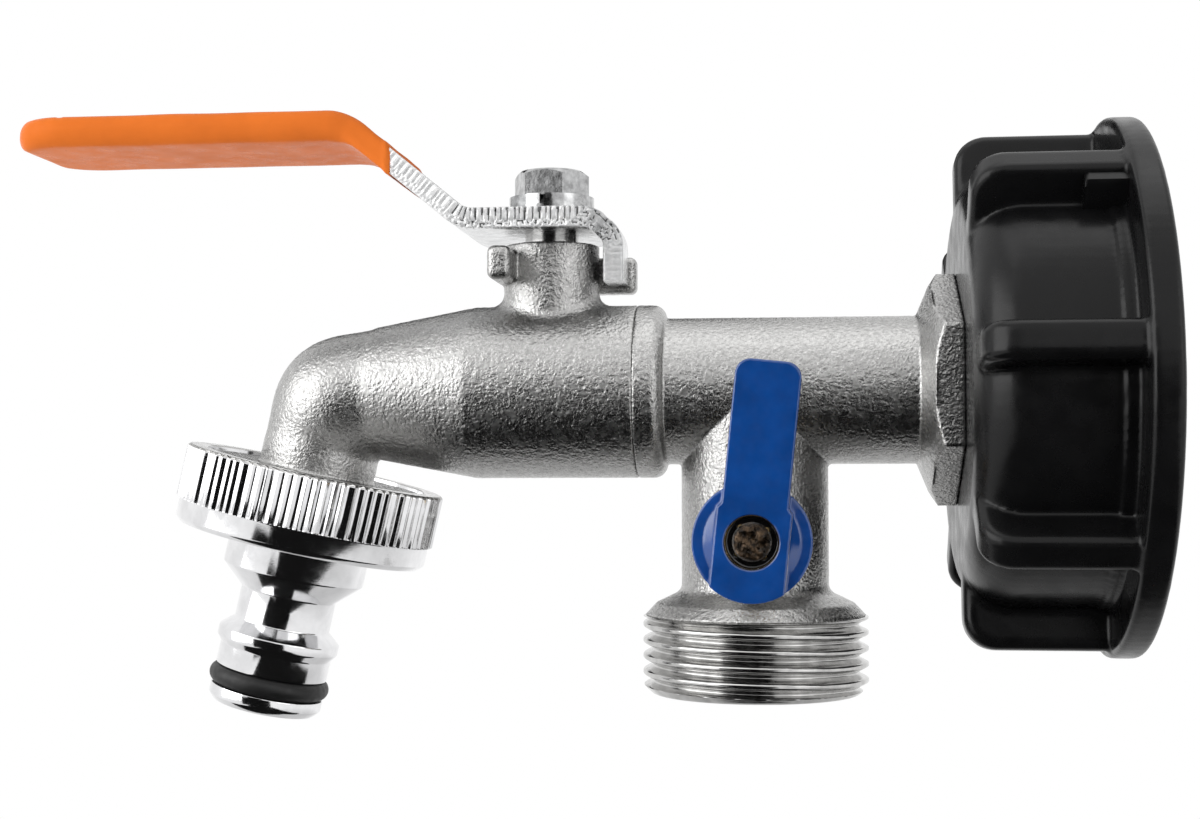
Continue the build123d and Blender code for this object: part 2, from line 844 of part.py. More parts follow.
def nipple_o_ring_middle():
    """Height of the middle of the nipple's seal ring."""
    return nut_height + nipple_groove_top + spindle_gap + nipple_o_ring_section / 2


def make_nipple_o_ring():
    """The black seal ring near the nipple's tip."""
    half = nipple_o_ring_section / 2
    middle = nipple_o_ring_radius - half + spindle_gap
    section = RegularPolygon(half, 16, rotation=11.25)
    face = Pos(middle, 0, nipple_o_ring_middle()) * (Plane.XZ * section)
    return spout_plane().location * revolve(face, Axis.Z, 360)


def make_nose_washer():
    """The flat rubber washer between the spout's end and the nut's floor."""
    floor = nut_height - nut_floor
    outer = nose_thread_radius - gasket_clearance
    washer = ring(outer, nipple_bore_radius + nose_washer_inset, floor - nose_washer_thickness, floor)
    return spout_plane().location * washer


def write(name, shape):
    """Writes one sub-part to its own STEP file."""
    export_step(shape, f"parts/{name}.step")


def main():
    os.makedirs("parts", exist_ok=True)
    write("tank_cap", make_tank_cap())
    write("cap_gasket", make_cap_gasket())
    write("tee_body", make_tee_body())
    write("side_ball", make_side_ball())
    write("side_seat_upper", side_seat(1))
    write("side_seat_lower", side_seat(-1))
    write("side_seat_retainer", make_side_seat_retainer())
    write("side_stem", make_side_stem())
    write("side_stem_o_ring", make_side_stem_o_ring())
    write("side_lever", make_side_lever())
    write("side_lever_screw", make_side_lever_screw())
    write("main_body", make_main_body())
    write("joint_seal", make_joint_seal())
    write("main_ball", make_main_ball())
    write("main_seat_rear", main_seat(1))
    write("main_seat_front", main_seat(-1))
    write("main_stem", make_main_stem())
    write("main_stem_o_rings", make_main_stem_o_rings())
    write("thrust_washer", make_thrust_washer())
    write("main_lever", make_main_lever())
    write("main_lever_sleeve", make_main_lever_sleeve())
    write("lever_washer", make_lever_washer())
    write("lever_lock_washer", make_lever_lock_washer())
    write("lever_bolt", make_lever_bolt())
    write("tap_connector", make_tap_connector())
    write("nipple_o_ring", make_nipple_o_ring())
    write("nose_washer", make_nose_washer())


main()
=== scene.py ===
"""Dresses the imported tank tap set: a screw cap, a tee with a small valve and a lever bibcock."""

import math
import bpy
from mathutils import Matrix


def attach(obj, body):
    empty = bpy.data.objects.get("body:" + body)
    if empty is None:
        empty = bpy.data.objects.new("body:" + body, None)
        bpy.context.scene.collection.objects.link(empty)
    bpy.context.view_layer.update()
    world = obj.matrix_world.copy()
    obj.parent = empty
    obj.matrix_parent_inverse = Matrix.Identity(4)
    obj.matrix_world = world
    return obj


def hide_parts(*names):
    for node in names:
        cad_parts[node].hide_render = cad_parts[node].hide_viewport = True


bl_info = {
    "name": "Tank tap set",
    "version": (1, 0, 0),
    "blender": (4, 5, 0),
    "location": "View3D > Sidebar > Tap set",
    "description": "Builds the visible pieces and finishes of a tank tap set around its packed model",
    "category": "Add Mesh",
}

import bmesh
import bpy
from bpy.props import FloatProperty, FloatVectorProperty, IntProperty, PointerProperty
from mathutils import Matrix, Vector, noise

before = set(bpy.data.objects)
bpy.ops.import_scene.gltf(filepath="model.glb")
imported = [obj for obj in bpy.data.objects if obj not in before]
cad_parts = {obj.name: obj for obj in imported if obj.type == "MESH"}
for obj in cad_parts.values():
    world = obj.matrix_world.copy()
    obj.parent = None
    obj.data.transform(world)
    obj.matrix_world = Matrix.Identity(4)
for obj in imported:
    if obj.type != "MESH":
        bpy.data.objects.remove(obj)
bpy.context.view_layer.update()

MM = 0.001
TURN = 2 * math.pi

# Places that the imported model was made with, in millimetres
STEM_X = -84.8
BRANCH_X = -54.4
SIDE_AXIS_Z = -21.8
SPOUT_TURN = math.radians(77.1)
SPOUT_AXIS = Vector((-math.cos(SPOUT_TURN), 0, -math.sin(SPOUT_TURN)))
SPOUT_PLACE = Vector((-111.2 - 9.4 * math.sin(SPOUT_TURN), 0, -10.7 + 9.4 * math.cos(SPOUT_TURN))) + 3.0 * SPOUT_AXIS


# Settings


class TapThreadSettings(bpy.types.PropertyGroup):
    outlet_radius: FloatProperty(
        name="Outlet thread radius", description="Outside radius of the branch's thread",
        default=0.0166, unit="LENGTH")
    outlet_pitch: FloatProperty(
        name="Outlet pitch", description="Distance between two turns of the branch's thread",
        default=0.00231, unit="LENGTH")
    outlet_depth: FloatProperty(
        name="Outlet depth", description="Depth of the branch's thread", default=0.00138, unit="LENGTH")
    cap_pitch: FloatProperty(
        name="Cap pitch", description="Distance between two turns inside the cap", default=0.006, unit="LENGTH")
    cap_height: FloatProperty(
        name="Cap thread height", description="How far the cap's thread stands inwards",
        default=0.0017, unit="LENGTH")


class TapConnectorSettings(bpy.types.PropertyGroup):
    flute_count: IntProperty(name="Flutes", description="Grip flutes round the hose nut", default=89, min=12)
    flute_depth: FloatProperty(
        name="Flute depth", description="Depth of the grip flutes", default=0.00044, unit="LENGTH")


class TapLeverSettings(bpy.types.PropertyGroup):
    thickness: FloatProperty(
        name="Plate thickness", description="Thickness of the long lever's plate", default=0.003, unit="LENGTH")
    edge_depth: FloatProperty(
        name="Sheared edge depth", description="Depth of the marks on the lever's sheared edges",
        default=0.0004, unit="LENGTH")
    sleeve_wall: FloatProperty(
        name="Sleeve wall", description="Thickness of the dipped sleeve", default=0.0008, unit="LENGTH")


class TapFinishSettings(bpy.types.PropertyGroup):
    nickel: FloatVectorProperty(
        name="Nickel", description="Colour of the satin nickel plate", subtype="COLOR",
        default=(0.47, 0.467, 0.46), min=0, max=1)
    chrome: FloatVectorProperty(
        name="Chrome", description="Colour of the polished chrome plate", subtype="COLOR",
        default=(0.82, 0.82, 0.83), min=0, max=1)
    zinc: FloatVectorProperty(
        name="Zinc", description="Colour of the zinc-plated steel", subtype="COLOR",
        default=(0.74, 0.745, 0.75), min=0, max=1)
    sleeve: FloatVectorProperty(
        name="Sleeve", description="Colour of the long lever's sleeve", subtype="COLOR",
        default=(0.97, 0.225, 0.035), min=0, max=1)
    small_lever: FloatVectorProperty(
        name="Small lever", description="Colour of the small lever", subtype="COLOR",
        default=(0.0035, 0.067, 0.315), min=0, max=1)
    cap: FloatVectorProperty(
        name="Cap", description="Colour of the screw cap", subtype="COLOR",
        default=(0.0042, 0.0042, 0.0045), min=0, max=1)


class TapStageSettings(bpy.types.PropertyGroup):
    floor_drop: FloatProperty(
        name="Floor drop", description="How far below the pipe's axis the floor lies", default=0.24, unit="LENGTH")
    key_power: FloatProperty(name="Key light", description="Power of the main softbox in watts", default=4.5, min=0)
    fill_power: FloatProperty(name="Fill light", description="Power of the filling softbox in watts", default=0.5, min=0)
    room_level: FloatProperty(
        name="Room light", description="Strength of the light that comes from all round", default=0.42, min=0)


# Mesh helpers


def put_mesh(name, bm, sharp=38.0):
    """Turns a bmesh into a smooth object whose edges over an angle stay sharp."""
    bmesh.ops.recalc_face_normals(bm, faces=bm.faces)
    mesh = bpy.data.meshes.new(name)
    bm.to_mesh(mesh)
    bm.free()
    mesh.shade_smooth()
    mesh.set_sharp_from_angle(angle=math.radians(sharp))
    piece = bpy.data.objects.new(name, mesh)
    bpy.context.scene.collection.objects.link(piece)
    return piece


def along(origin, z_dir, x_dir):
    """The matrix of a frame whose Z and X point two given ways, with its origin in millimetres."""
    z = Vector(z_dir).normalized()
    y = z.cross(Vector(x_dir)).normalized()
    x = y.cross(z)
    place = Matrix((x, y, z)).transposed().to_4x4()
    place.translation = Vector(origin) * MM
    return place


def soften(points, radius, steps=3):
    """A closed outline with its corners rounded."""
    out = []
    count = len(points)
    for index, here in enumerate(points):
        here = Vector(here)
        before = Vector(points[index - 1]) - here
        after = Vector(points[(index + 1) % count]) - here
        reach = min(radius, 0.45 * before.length, 0.45 * after.length)
        if reach < 1e-4 or before.angle(after) > math.radians(172):
            out.append(tuple(here))
            continue
        start = here + before.normalized() * reach
        end = here + after.normalized() * reach
        for step in range(steps + 1):
            t = step / steps
            out.append(tuple(start * (1 - t) ** 2 + here * 2 * t * (1 - t) + end * t ** 2))
    return out


def divide(points, step):
    """A closed outline with points added so that none are further apart than a step."""
    out = []
    for index, here in enumerate(points):
        there = points[(index + 1) % len(points)]
        gap = math.dist(here, there)
        parts = max(1, math.ceil(gap / step))
        for part in range(parts):
            t = part / parts
            out.append((here[0] + (there[0] - here[0]) * t, here[1] + (there[1] - here[1]) * t))
    return out


def turned(name, outline, place, count=160, warp=None):
    """A ring turned from a closed outline of (radius, height) pairs in millimetres."""
    bm = bmesh.new()
    rows = []
    for radius, height in outline:
        row = []
        for index in range(count):
            angle = TURN * index / count
            r, h = warp(radius, height, angle) if warp else (radius, height)
            row.append(bm.verts.new(place @ (Vector((r * math.cos(angle), r * math.sin(angle), h)) * MM)))
        rows.append(row)
    for index, row in enumerate(rows):
        following = rows[(index + 1) % len(rows)]
        for side in range(count):
            other = (side + 1) % count
            bm.faces.new((row[side], row[other], following[other], following[side]))
    return put_mesh(name, bm)


def bridged(name, loops, sharp=38.0):
    """A closed tube through equal loops of points in millimetres, with both ends filled."""
    bm = bmesh.new()
    rows = [[bm.verts.new(Vector(point) * MM) for point in loop] for loop in loops]
    size = len(rows[0])
    for first, second in zip(rows, rows[1:]):
        for side in range(size):
            other = (side + 1) % size
            bm.faces.new((first[side], first[other], second[other], second[side]))
    for row in (rows[0], rows[-1]):
        middle = bm.verts.new(sum((vert.co for vert in row), Vector()) / size)
        for side in range(size):
            bm.faces.new((row[side], row[(side + 1) % size], middle))
    return put_mesh(name, bm, sharp)


def add_remesh(piece, voxel, rounds):
    """Even small faces with softened edges, as a cast or moulded piece has."""
    remesh = piece.modifiers.new("Even faces", "REMESH")
    remesh.mode = "VOXEL"
    remesh.voxel_size = voxel * MM
    remesh.use_smooth_shade = True
    smooth = piece.modifiers.new("Soft edges", "SMOOTH")
    smooth.factor = 0.5
    smooth.iterations = rounds


def add_grain(piece, size, height):
    """Low pebbling over a piece, made in its mesh."""
    texture = bpy.data.textures.new(piece.name + "_grain", "CLOUDS")
    texture.noise_scale = size * MM
    texture.noise_depth = 2
    grain = piece.modifiers.new("Cast grain", "DISPLACE")
    grain.texture = texture
    grain.texture_coords = "LOCAL"
    grain.strength = height * MM
    grain.mid_level = 0.5


# Finishes


class Finish:
    """A procedural finish built up node by node."""

    def __init__(self, name, colour, metallic, roughness):
        self.material = bpy.data.materials.new(name)
        self.material.use_nodes = True
        self.tree = self.material.node_tree
        self.shader = self.tree.nodes["Principled BSDF"]
        self.colour = tuple(colour)
        self.shader.inputs["Base Color"].default_value = (*self.colour, 1)
        self.shader.inputs["Metallic"].default_value = metallic
        self.shader.inputs["Roughness"].default_value = roughness
        self.place = self.tree.nodes.new("ShaderNodeTexCoord").outputs["Object"]
        self.bump = None

    def socket(self, name, value):
        self.shader.inputs[name].default_value = value
        return self

    def noise(self, size, detail=4.0, stretch=(1, 1, 1), rough=0.55):
        """A noise whose features are about a size in millimetres."""
        stretched = self.tree.nodes.new("ShaderNodeMapping")
        stretched.inputs["Scale"].default_value = stretch
        self.tree.links.new(self.place, stretched.inputs["Vector"])
        texture = self.tree.nodes.new("ShaderNodeTexNoise")
        texture.inputs["Scale"].default_value = 1 / (size * MM)
        texture.inputs["Detail"].default_value = detail
        texture.inputs["Roughness"].default_value = rough
        self.tree.links.new(stretched.outputs["Vector"], texture.inputs["Vector"])
        return texture.outputs["Fac"]

    def cells(self, size):
        """The distance to the nearest of many scattered points."""
        texture = self.tree.nodes.new("ShaderNodeTexVoronoi")
        texture.inputs["Scale"].default_value = 1 / (size * MM)
        self.tree.links.new(self.place, texture.inputs["Vector"])
        return texture.outputs["Distance"]

    def tone(self, factor, darker, lighter, low=0.35, high=0.65):
        """Varies the colour between two shares of itself."""
        ramp = self.tree.nodes.new("ShaderNodeValToRGB")
        ramp.color_ramp.elements[0].position = low
        ramp.color_ramp.elements[1].position = high
        ramp.color_ramp.elements[0].color = (*[min(1, c * darker) for c in self.colour], 1)
        ramp.color_ramp.elements[1].color = (*[min(1, c * lighter) for c in self.colour], 1)
        self.tree.links.new(factor, ramp.inputs["Fac"])
        self.tree.links.new(ramp.outputs["Color"], self.shader.inputs["Base Color"])
        return self

    def stain(self, centre, radius, colour):
        """Darkens the colour round an axis along Y, within a radius in millimetres: grease together with painted shade
        in a recess.
        """
        offset = self.tree.nodes.new("ShaderNodeVectorMath")
        offset.operation = "SUBTRACT"
        offset.inputs[1].default_value = centre
        flat = self.tree.nodes.new("ShaderNodeVectorMath")
        flat.operation = "MULTIPLY"
        flat.inputs[1].default_value = (1, 0, 1)
        length = self.tree.nodes.new("ShaderNodeVectorMath")
        length.operation = "LENGTH"
        span = self.tree.nodes.new("ShaderNodeMapRange")
        span.inputs["From Min"].default_value = (radius - 0.15) * MM
        span.inputs["From Max"].default_value = (radius + 0.05) * MM
        mix = self.tree.nodes.new("ShaderNodeMix")
        mix.data_type = "RGBA"
        mix.inputs[6].default_value = (*colour, 1)
        link = self.tree.links.new
        link(self.place, offset.inputs[0])
        link(offset.outputs["Vector"], flat.inputs[0])
        link(flat.outputs["Vector"], length.inputs[0])
        link(length.outputs["Value"], span.inputs["Value"])
        link(span.outputs["Result"], mix.inputs["Factor"])
        link(self.shader.inputs["Base Color"].links[0].from_socket, mix.inputs[7])
        link(mix.outputs[2], self.shader.inputs["Base Color"])
        return self

    def gloss(self, factor, low, high):
        """Varies the roughness between two values."""
        span = self.tree.nodes.new("ShaderNodeMapRange")
        span.inputs["From Min"].default_value = 0.3
        span.inputs["From Max"].default_value = 0.7
        span.inputs["To Min"].default_value = low
        span.inputs["To Max"].default_value = high
        self.tree.links.new(factor, span.inputs["Value"])
        self.tree.links.new(span.outputs["Result"], self.shader.inputs["Roughness"])
        return self

    def relief(self, factor, height, strength=1.0):
        """Adds fine relief of a height in millimetres on top of what is there."""
        bump = self.tree.nodes.new("ShaderNodeBump")
        bump.inputs["Strength"].default_value = strength
        bump.inputs["Distance"].default_value = height * MM
        self.tree.links.new(factor, bump.inputs["Height"])
        if self.bump:
            self.tree.links.new(self.bump, bump.inputs["Normal"])
        self.bump = bump.outputs["Normal"]
        self.tree.links.new(self.bump, self.shader.inputs["Normal"])
        return self


def cached(make):
    """Makes a finish once and gives the same one after that."""

    def made():
        name = "finish_" + make.__name__
        return bpy.data.materials.get(name) or make(name)

    return made


@cached
def cast_nickel(name):
    """Blasted casting under satin nickel."""
    finish = Finish(name, bpy.context.scene.tap_finish.nickel, 1.0, 0.33)
    finish.tone(finish.noise(0.5, 4), 0.78, 1.14, 0.3, 0.7)
    finish.gloss(finish.noise(1.4, 4), 0.18, 0.32)
    finish.relief(finish.noise(0.42, 4, rough=0.5), 0.16, 0.95)
    finish.relief(finish.cells(0.36), 0.04, 0.6)
    return finish.material


@cached
def machined_nickel(name):
    """Turned threads and faces under the same plate."""
    finish = Finish(name, [c * 1.12 for c in bpy.context.scene.tap_finish.nickel], 1.0, 0.2)
    finish.tone(finish.noise(2.2, 3), 0.86, 1.12)
    finish.gloss(finish.noise(1.0, 3), 0.1, 0.22)
    finish.relief(finish.noise(3.0, 3, (0.15, 0.15, 14)), 0.02, 0.5)
    return finish.material


@cached
def polished_chrome(name):
    """Bright chrome over a turned surface, whose fine turning marks still show."""
    finish = Finish(name, bpy.context.scene.tap_finish.chrome, 1.0, 0.12)
    finish.tone(finish.noise(4, 3), 0.9, 1.04)
    finish.gloss(finish.noise(1.4, 4), 0.06, 0.14)
    finish.relief(finish.noise(2.5, 3, (1, 1, 2.5)), 0.008, 0.3)
    finish.relief(finish.noise(0.5, 3, (0.6, 0.6, 4)), 0.004, 0.5)
    return finish.material


@cached
def bolt_steel(name):
    """The brighter forged steel of the bolt."""
    finish = Finish(name, [c * 0.66 for c in bpy.context.scene.tap_finish.zinc], 1.0, 0.16)
    finish.tone(finish.noise(1.3, 5), 0.66, 1.2)
    finish.gloss(finish.noise(0.9, 4), 0.1, 0.22)
    finish.relief(finish.noise(1.6, 3), 0.05, 0.5)
    finish.relief(finish.noise(0.5, 3), 0.008, 0.4)
    return finish.material


@cached
def zinc_steel(name):
    """Pressed steel under bright zinc, with rubbed marks."""
    finish = Finish(name, bpy.context.scene.tap_finish.zinc, 1.0, 0.22)
    finish.tone(finish.noise(3.2, 5), 0.82, 1.1)
    finish.gloss(finish.noise(1.2, 4, (1, 3, 1)), 0.14, 0.34)
    finish.relief(finish.noise(1.3, 4), 0.05, 0.45)
    finish.relief(finish.noise(0.5, 3, (0.3, 3, 1)), 0.012, 0.5)
    return finish.material


@cached
def torn_steel(name):
    """The bright torn metal of the lever's sheared edges."""
    finish = Finish(name, [c * 1.26 for c in bpy.context.scene.tap_finish.zinc], 0.3, 0.4)
    finish.tone(finish.noise(0.7, 4), 0.86, 1.12)
    finish.gloss(finish.noise(0.5, 4), 0.28, 0.48)
    finish.relief(finish.noise(0.4, 4), 0.05, 0.6)
    return finish.material


@cached
def notch_steel(name):
    """Painted shade: the dark steel colour given to the bottoms of the sheared edges' notches, where shade falls."""
    finish = Finish(name, [c * 0.2 for c in bpy.context.scene.tap_finish.zinc], 0.8, 0.4)
    finish.tone(finish.noise(0.4, 4), 0.5, 1.7)
    finish.gloss(finish.noise(0.5, 4), 0.3, 0.5)
    finish.relief(finish.noise(0.3, 4), 0.04, 0.6)
    return finish.material


@cached
def orange_vinyl(name):
    """Glossy dipped vinyl with a slightly uneven skin."""
    finish = Finish(name, bpy.context.scene.tap_finish.sleeve, 0.0, 0.3)
    finish.tone(finish.noise(9, 3), 0.93, 1.05)
    finish.gloss(finish.noise(2.6, 4), 0.24, 0.38)
    finish.relief(finish.noise(2.4, 2), 0.12, 0.35)
    finish.relief(finish.noise(0.5, 3), 0.012, 0.5)
    finish.socket("Specular IOR Level", 0.025)
    return finish.material


@cached
def blue_plastic(name):
    """Satin moulded plastic with a fine grain, light scratches and a screw hole darkened by grease and painted shade.
    """
    finish = Finish(name, bpy.context.scene.tap_finish.small_lever, 0.0, 0.4)
    finish.tone(finish.noise(5, 4), 0.86, 1.16)
    # grease and painted shade: the screw hole's recess is coloured near black
    finish.stain(Vector((BRANCH_X, 0, SIDE_AXIS_Z)) * MM, 3.9, (0.004, 0.0035, 0.004))
    finish.gloss(finish.noise(1.0, 4), 0.12, 0.22)
    finish.relief(finish.noise(0.35, 3), 0.01, 0.5)
    finish.relief(finish.noise(3.0, 2), 0.05, 0.4)
    finish.relief(finish.noise(0.9, 3, (4, 1, 0.35)), 0.012, 0.4)
    finish.socket("Specular IOR Level", 0.95)
    return finish.material


@cached
def black_plastic(name):
    """Moulded black plastic with faint flow marks and rubbed spots."""
    finish = Finish(name, bpy.context.scene.tap_finish.cap, 0.0, 0.34)
    finish.tone(finish.noise(14, 5), 0.8, 1.6)
    finish.gloss(finish.noise(4.0, 5), 0.2, 0.34)
    finish.relief(finish.noise(0.8, 4), 0.014, 0.5)
    finish.relief(finish.noise(12, 2), 0.2, 0.3)
    finish.relief(finish.noise(1.4, 3, (0.25, 2, 2)), 0.01, 0.4)
    finish.socket("Specular IOR Level", 0.27)
    return finish.material


@cached
def black_rubber(name):
    """Matt rubber of the seal rings and gaskets."""
    finish = Finish(name, (0.007, 0.007, 0.0072), 0.0, 0.45)
    finish.tone(finish.noise(2, 4), 0.8, 1.4)
    finish.gloss(finish.noise(0.8, 4), 0.42, 0.6)
    finish.relief(finish.noise(0.3, 3), 0.012, 0.6)
    return finish.material


@cached
def white_seat(name):
    """Waxy white seat plastic."""
    finish = Finish(name, (0.82, 0.81, 0.78), 0.0, 0.45)
    finish.tone(finish.noise(3, 3), 0.94, 1.03)
    finish.gloss(finish.noise(1, 3), 0.38, 0.52)
    finish.relief(finish.noise(0.6, 2), 0.01, 0.5)
    return finish.material


@cached
def plain_brass(name):
    """Turned brass, a little dulled."""
    finish = Finish(name, (0.62, 0.44, 0.19), 1.0, 0.3)
    finish.tone(finish.noise(2, 4), 0.78, 1.12)
    finish.gloss(finish.noise(1, 4), 0.22, 0.42)
    finish.relief(finish.noise(0.4, 3), 0.01, 0.5)
    return finish.material


@cached
def hard_chrome(name):
    """Lapped chrome of the balls."""
    finish = Finish(name, (0.74, 0.74, 0.75), 1.0, 0.1)
    finish.tone(finish.noise(3, 3), 0.92, 1.05)
    finish.gloss(finish.noise(1.5, 3), 0.07, 0.16)
    finish.relief(finish.noise(0.6, 2), 0.004, 0.4)
    return finish.material


@cached
def greased_steel(name):
    """Dark greasy steel of the small lever's fastening."""
    finish = Finish(name, (0.03, 0.019, 0.011), 0.7, 0.3)
    finish.tone(finish.noise(0.9, 5), 0.25, 4.5, 0.42, 0.75)
    finish.gloss(finish.noise(0.6, 4), 0.18, 0.5)
    finish.relief(finish.noise(0.55, 4), 0.12, 0.8)
    return finish.material


def dress(node, material):
    """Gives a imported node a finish."""
    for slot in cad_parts[node].material_slots:
        slot.link = "OBJECT"
        slot.material = material


def clothe(piece, material, body, slot, *nodes):
    """Gives a new piece its finish and its body, and hides the imported nodes that it stands for."""
    piece.data.materials.append(material)
    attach(piece, body)
    if nodes:
        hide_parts(*nodes)
    return piece


# Castings


def copied(node):
    """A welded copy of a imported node's mesh, as a bmesh."""
    bm = bmesh.new()
    bm.from_mesh(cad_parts[node].data)
    bmesh.ops.remove_doubles(bm, verts=bm.verts, dist=2e-7)
    return bm


def keep_above(bm, height):
    """Cuts off what lies below a height in millimetres and closes the cut."""
    geometry = bm.verts[:] + bm.edges[:] + bm.faces[:]
    bmesh.ops.bisect_plane(
        bm, geom=geometry, plane_co=(0, 0, height * MM), plane_no=(0, 0, -1), clear_outer=True)
    rim = [edge for edge in bm.edges if edge.is_boundary]
    bmesh.ops.triangle_fill(bm, edges=rim, use_beauty=True)


class TAP_OT_castings(bpy.types.Operator):
    """Builds the tee and the bibcock's body as pebbled castings"""

    bl_idname = "tap.castings"
    bl_label = "Castings"

    def execute(self, context):
        tee = copied("tee_body")
        keep_above(tee, OUTLET_CUT)
        tee = put_mesh("tee_casting", tee)
        add_remesh(tee, 0.24, 1)
        add_grain(tee, 0.62, 0.11)
        clothe(tee, cast_nickel(), "body", "cast_brass", "tee_body")
        body = put_mesh("bibcock_casting", copied("main_body"))
        add_remesh(body, 0.24, 1)
        add_grain(body, 0.66, 0.12)
        clothe(body, cast_nickel(), "body", "cast_brass", "main_body")
        return {"FINISHED"}


# Branch outlet

OUTLET_CUT = -33.15
OUTLET_END = -44.6
OUTLET_TOP = -33.3


def outlet_outline(radius):
    """The outlet's section, from inside the branch's flare round to its bore."""
    return [
        (15.0, -32.4), (15.4, -32.9), (radius - 0.35, OUTLET_CUT - 0.05), (radius - 0.1, OUTLET_TOP + 0.02),
        (radius, OUTLET_TOP), (radius, OUTLET_END + 1.3), (radius - 1.35, OUTLET_END), (9.7, OUTLET_END),
        (9.2, OUTLET_END + 0.5), (9.2, -32.4),
    ]


class TAP_OT_outlet(bpy.types.Operator):
    """Builds the branch's outlet with its turned male thread"""

    bl_idname = "tap.outlet"
    bl_label = "Threaded outlet"

    def execute(self, context):
        settings = context.scene.tap_threads
        radius = settings.outlet_radius / MM
        pitch = settings.outlet_pitch / MM
        depth = settings.outlet_depth / MM

        def cut(r, h, angle):
            if r < radius - 1.4 or h > OUTLET_TOP or h < OUTLET_END:
                return r, h
            wave = abs(((OUTLET_TOP - h) / pitch - angle / TURN) % 1.0 * 2 - 1)
            groove = depth * (1 - smooth_step(wave, 0.04, 0.86))
            fade = min(1.0, (OUTLET_TOP - h) / 0.55)
            return min(r, radius - groove * fade), h

        outline = divide(soften(outlet_outline(radius), 0.35, 3), 0.105)
        place = Matrix.Translation(Vector((BRANCH_X, 0, 0)) * MM)
        piece = turned("outlet_thread", outline, place, 220, cut)
        clothe(piece, machined_nickel(), "body", "cast_brass", "tee_body")
        return {"FINISHED"}


# Hose connector


def connector_outline():
    """The connector's section in the spout's frame: nut, then nipple, then bore."""
    return [
        (16.72, 0.0), (19.35, 0.0), (19.7, 0.35), (19.7, 8.0), (19.1, 8.05), (19.1, 10.9), (18.4, 11.6),
        (10.7, 11.6), (10.7, 16.2), (7.25, 19.4), (7.25, 24.1), (9.2, 25.8), (9.2, 27.2), (8.45, 28.2),
        (8.45, 31.4), (6.1, 31.4), (6.1, 34.44), (8.55, 34.44), (8.55, 36.0), (7.7, 36.94), (5.9, 36.94),
        (5.4, 36.4), (5.4, 9.7), (16.65, 9.7), (16.65, 0.1),
    ]


class TAP_OT_connector(bpy.types.Operator):
    """Builds the hose connector with its fluted nut, and its seal ring"""

    bl_idname = "tap.connector"
    bl_label = "Hose connector"

    def execute(self, context):
        settings = context.scene.tap_connector
        count = settings.flute_count
        depth = settings.flute_depth / MM

        def flute(r, h, angle):
            if r < 19.2 or h > 8.01:
                return r, h
            share = angle / TURN * count
            share += 0.22 * noise.noise(Vector((share * 0.9, 0.4, 7.0)))
            number = round(share)
            off = abs(share - number)
            uneven = 0.8 + 0.5 * noise.noise(Vector((number * 0.73, 3.1, 0)))
            valley = 1 - min(1.0, max(0.0, off - 0.13) / 0.37)
            return r - depth * min(1.0, valley * uneven), h

        place = along(SPOUT_PLACE, SPOUT_AXIS, (0, 1, 0))
        outline = soften(connector_outline(), 0.16, 2)
        piece = turned("hose_connector", outline, place, count * 14, flute)
        clothe(piece, polished_chrome(), "body", "turned_brass", "tap_connector")
        piece.data.materials.append(machined_nickel())
        for face in piece.data.polygons:
            face.material_index = int((face.center - SPOUT_PLACE * MM).dot(SPOUT_AXIS) < 0.3 * MM)
        middle = 31.4 + 1.52
        section = [
            (7.62 + 1.5 * math.cos(TURN * k / 28), middle + 1.5 * math.sin(TURN * k / 28)) for k in range(28)]
        seal = turned("hose_seal_ring", section, place, 180)
        clothe(seal, black_rubber(), "body", "black_rubber", "nipple_o_ring")
        return {"FINISHED"}


# Long lever

LEVER_LINE = [(9.7, 16.4), (9.7, 24.9), (-11.7, 24.9), (-29.3, 39.3), (-81.4, 39.3)]
LEVER_BENDS = [3.2, 4.6, 9.0]
PLATE_HALF = 12.5
HANDLE_HALF = 11.2
TAB_HALF = 4.2
SHOULDER_X = 8.0
SHOULDER_CORNER = 4.5
SLEEVE_MOUTH = -22.3


def bent_line(points, radii, step):
    """Samples along a line with rounded corners: place, direction and distance."""
    places = []
    for index, here in enumerate(points):
        here = Vector(here)
        if index in (0, len(points) - 1):
            places.append([here])
            continue
        before = (Vector(points[index - 1]) - here).normalized()
        after = (Vector(points[index + 1]) - here).normalized()
        radius = radii[index - 1]
        half = before.angle(after) / 2
        reach = radius / math.tan(half)
        centre = here + (before + after).normalized() * (radius / math.sin(half))
        start = here + before * reach - centre
        end = here + after * reach - centre
        sweep = start.angle(end)
        side = 1 if start.x * end.y - start.y * end.x > 0 else -1
        parts = max(4, math.ceil(radius * sweep / step))
        arc = []
        for part in range(parts + 1):
            turn = side * sweep * part / parts
            arc.append(centre + Matrix.Rotation(turn, 2) @ start)
        places.append(arc)
    line = []
    for group, following in zip(places, places[1:] + [[]]):
        line.extend(group)
        if following:
            gap = (following[0] - group[-1]).length
            parts = max(1, math.ceil(gap / step))
            for part in range(1, parts):
                line.append(group[-1].lerp(following[0], part / parts))
    samples = []
    distance = 0.0
    for index, here in enumerate(line):
        ahead = line[min(index + 1, len(line) - 1)] - line[max(index - 1, 0)]
        if index:
            distance += (here - line[index - 1]).length
        samples.append((here, ahead.normalized(), distance))
    return samples


def smooth_step(value, low, high):
    """Runs smoothly from 0 to 1 between two values."""
    t = min(1.0, max(0.0, (value - low) / (high - low)))
    return t * t * (3 - 2 * t)


